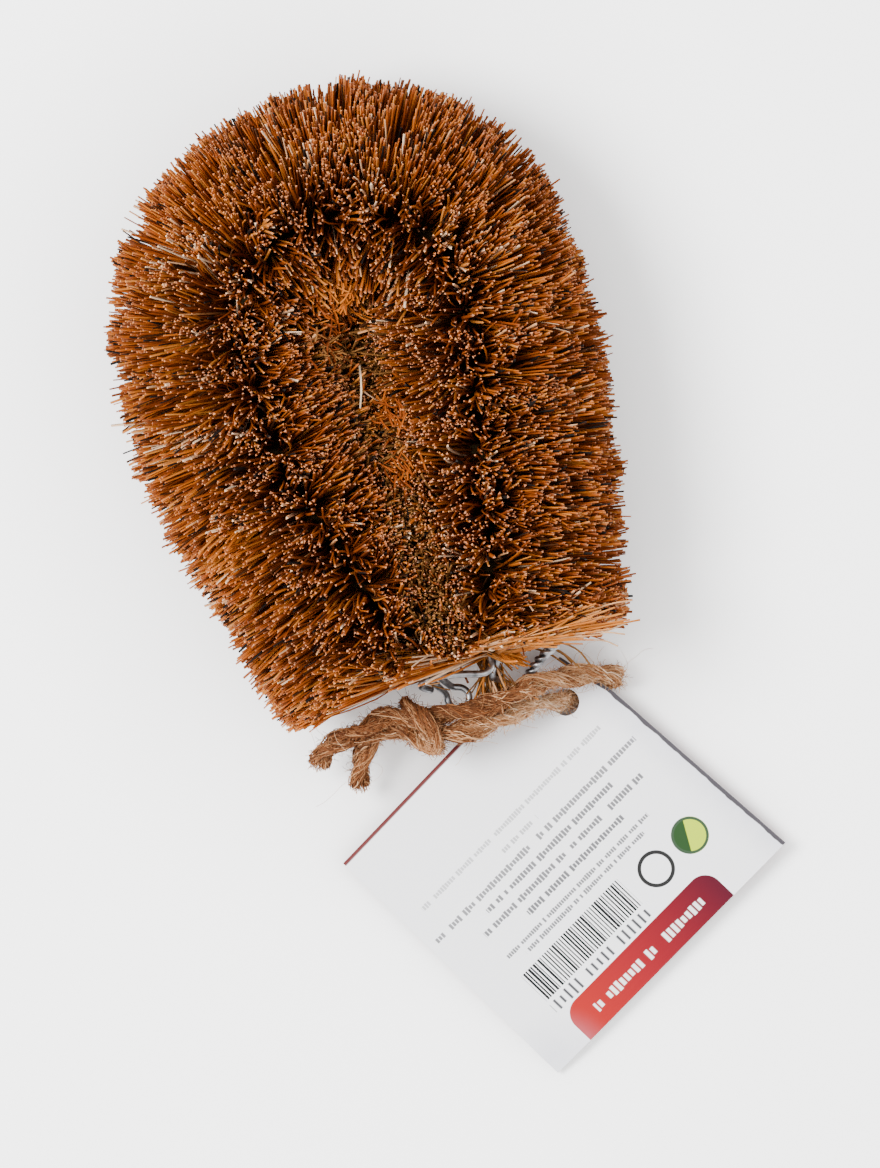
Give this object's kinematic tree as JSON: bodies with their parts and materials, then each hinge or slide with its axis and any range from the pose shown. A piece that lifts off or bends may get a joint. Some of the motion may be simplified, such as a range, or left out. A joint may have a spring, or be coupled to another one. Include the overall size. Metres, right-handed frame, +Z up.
{
  "type": "coconut fibre dish brush",
  "caption": "Hand-held scrubbing brush of coir fibres on a twisted wire bent back on itself, with a knotted twine loop and a folded card tag.",
  "frame": {"origin": "centre of the brush's outline, at the height of the surface that it lies on, the twine and the tag left out", "axes": "+Z up, square to the flat of the brush; +Y along the brush from its open end with the wire eye to its bend; +X to the right in the picture"},
  "size_m": [0.1062, 0.186, 0.0467],
  "materials": {
    "galvanised_wire": "dull zinc coat on round steel wire",
    "coir": "stiff rough brown coconut fibres with pale cut tips",
    "jute_twine": "hairy two-ply natural twine",
    "white_card": "smooth matt white card, printed on its front"
  },
  "bodies": {
    "brush": {"core_wire": "galvanised_wire", "bristles_left_1": "coir", "bristles_left_2": "coir", "bristles_left_3": "coir", "bristles_crown_1": "coir", "bristles_crown_2": "coir", "bristles_right_1": "coir", "bristles_right_2": "coir", "bristles_right_3": "coir"},
    "twine": {"twine_loop": "jute_twine", "twine_knot": "jute_twine", "twine_tail_left": "jute_twine", "twine_tail_lower": "jute_twine"},
    "tag_back": {"tag_back_leaf": "white_card"},
    "tag_front": {"tag_front_leaf": "white_card"}
  },
  "joints": [
    {"name": "twine_swing", "type": "hinge", "parent": "brush", "child": "twine", "pos_m": [0.012, -0.0561, 0.0203], "axis": [-1, 0, 0], "range_deg": [0, 60], "deforming": ["twine_loop"]},
    {"name": "tag_swivel", "type": "hinge", "parent": "twine", "child": "tag_back", "pos_m": [0.02659, -0.05997, 0.00432], "axis": [0, 0, 1], "range_deg": [-12, 12], "deforming": ["twine_loop"]},
    {"name": "tag_fold", "type": "hinge", "parent": "tag_back", "child": "tag_front", "pos_m": [-0.0188, -0.0826, 0.00303], "axis": [-0.8059, -0.5911, -0.0336], "range_deg": [0, 20], "deforming": ["twine_loop"]}
  ]
}
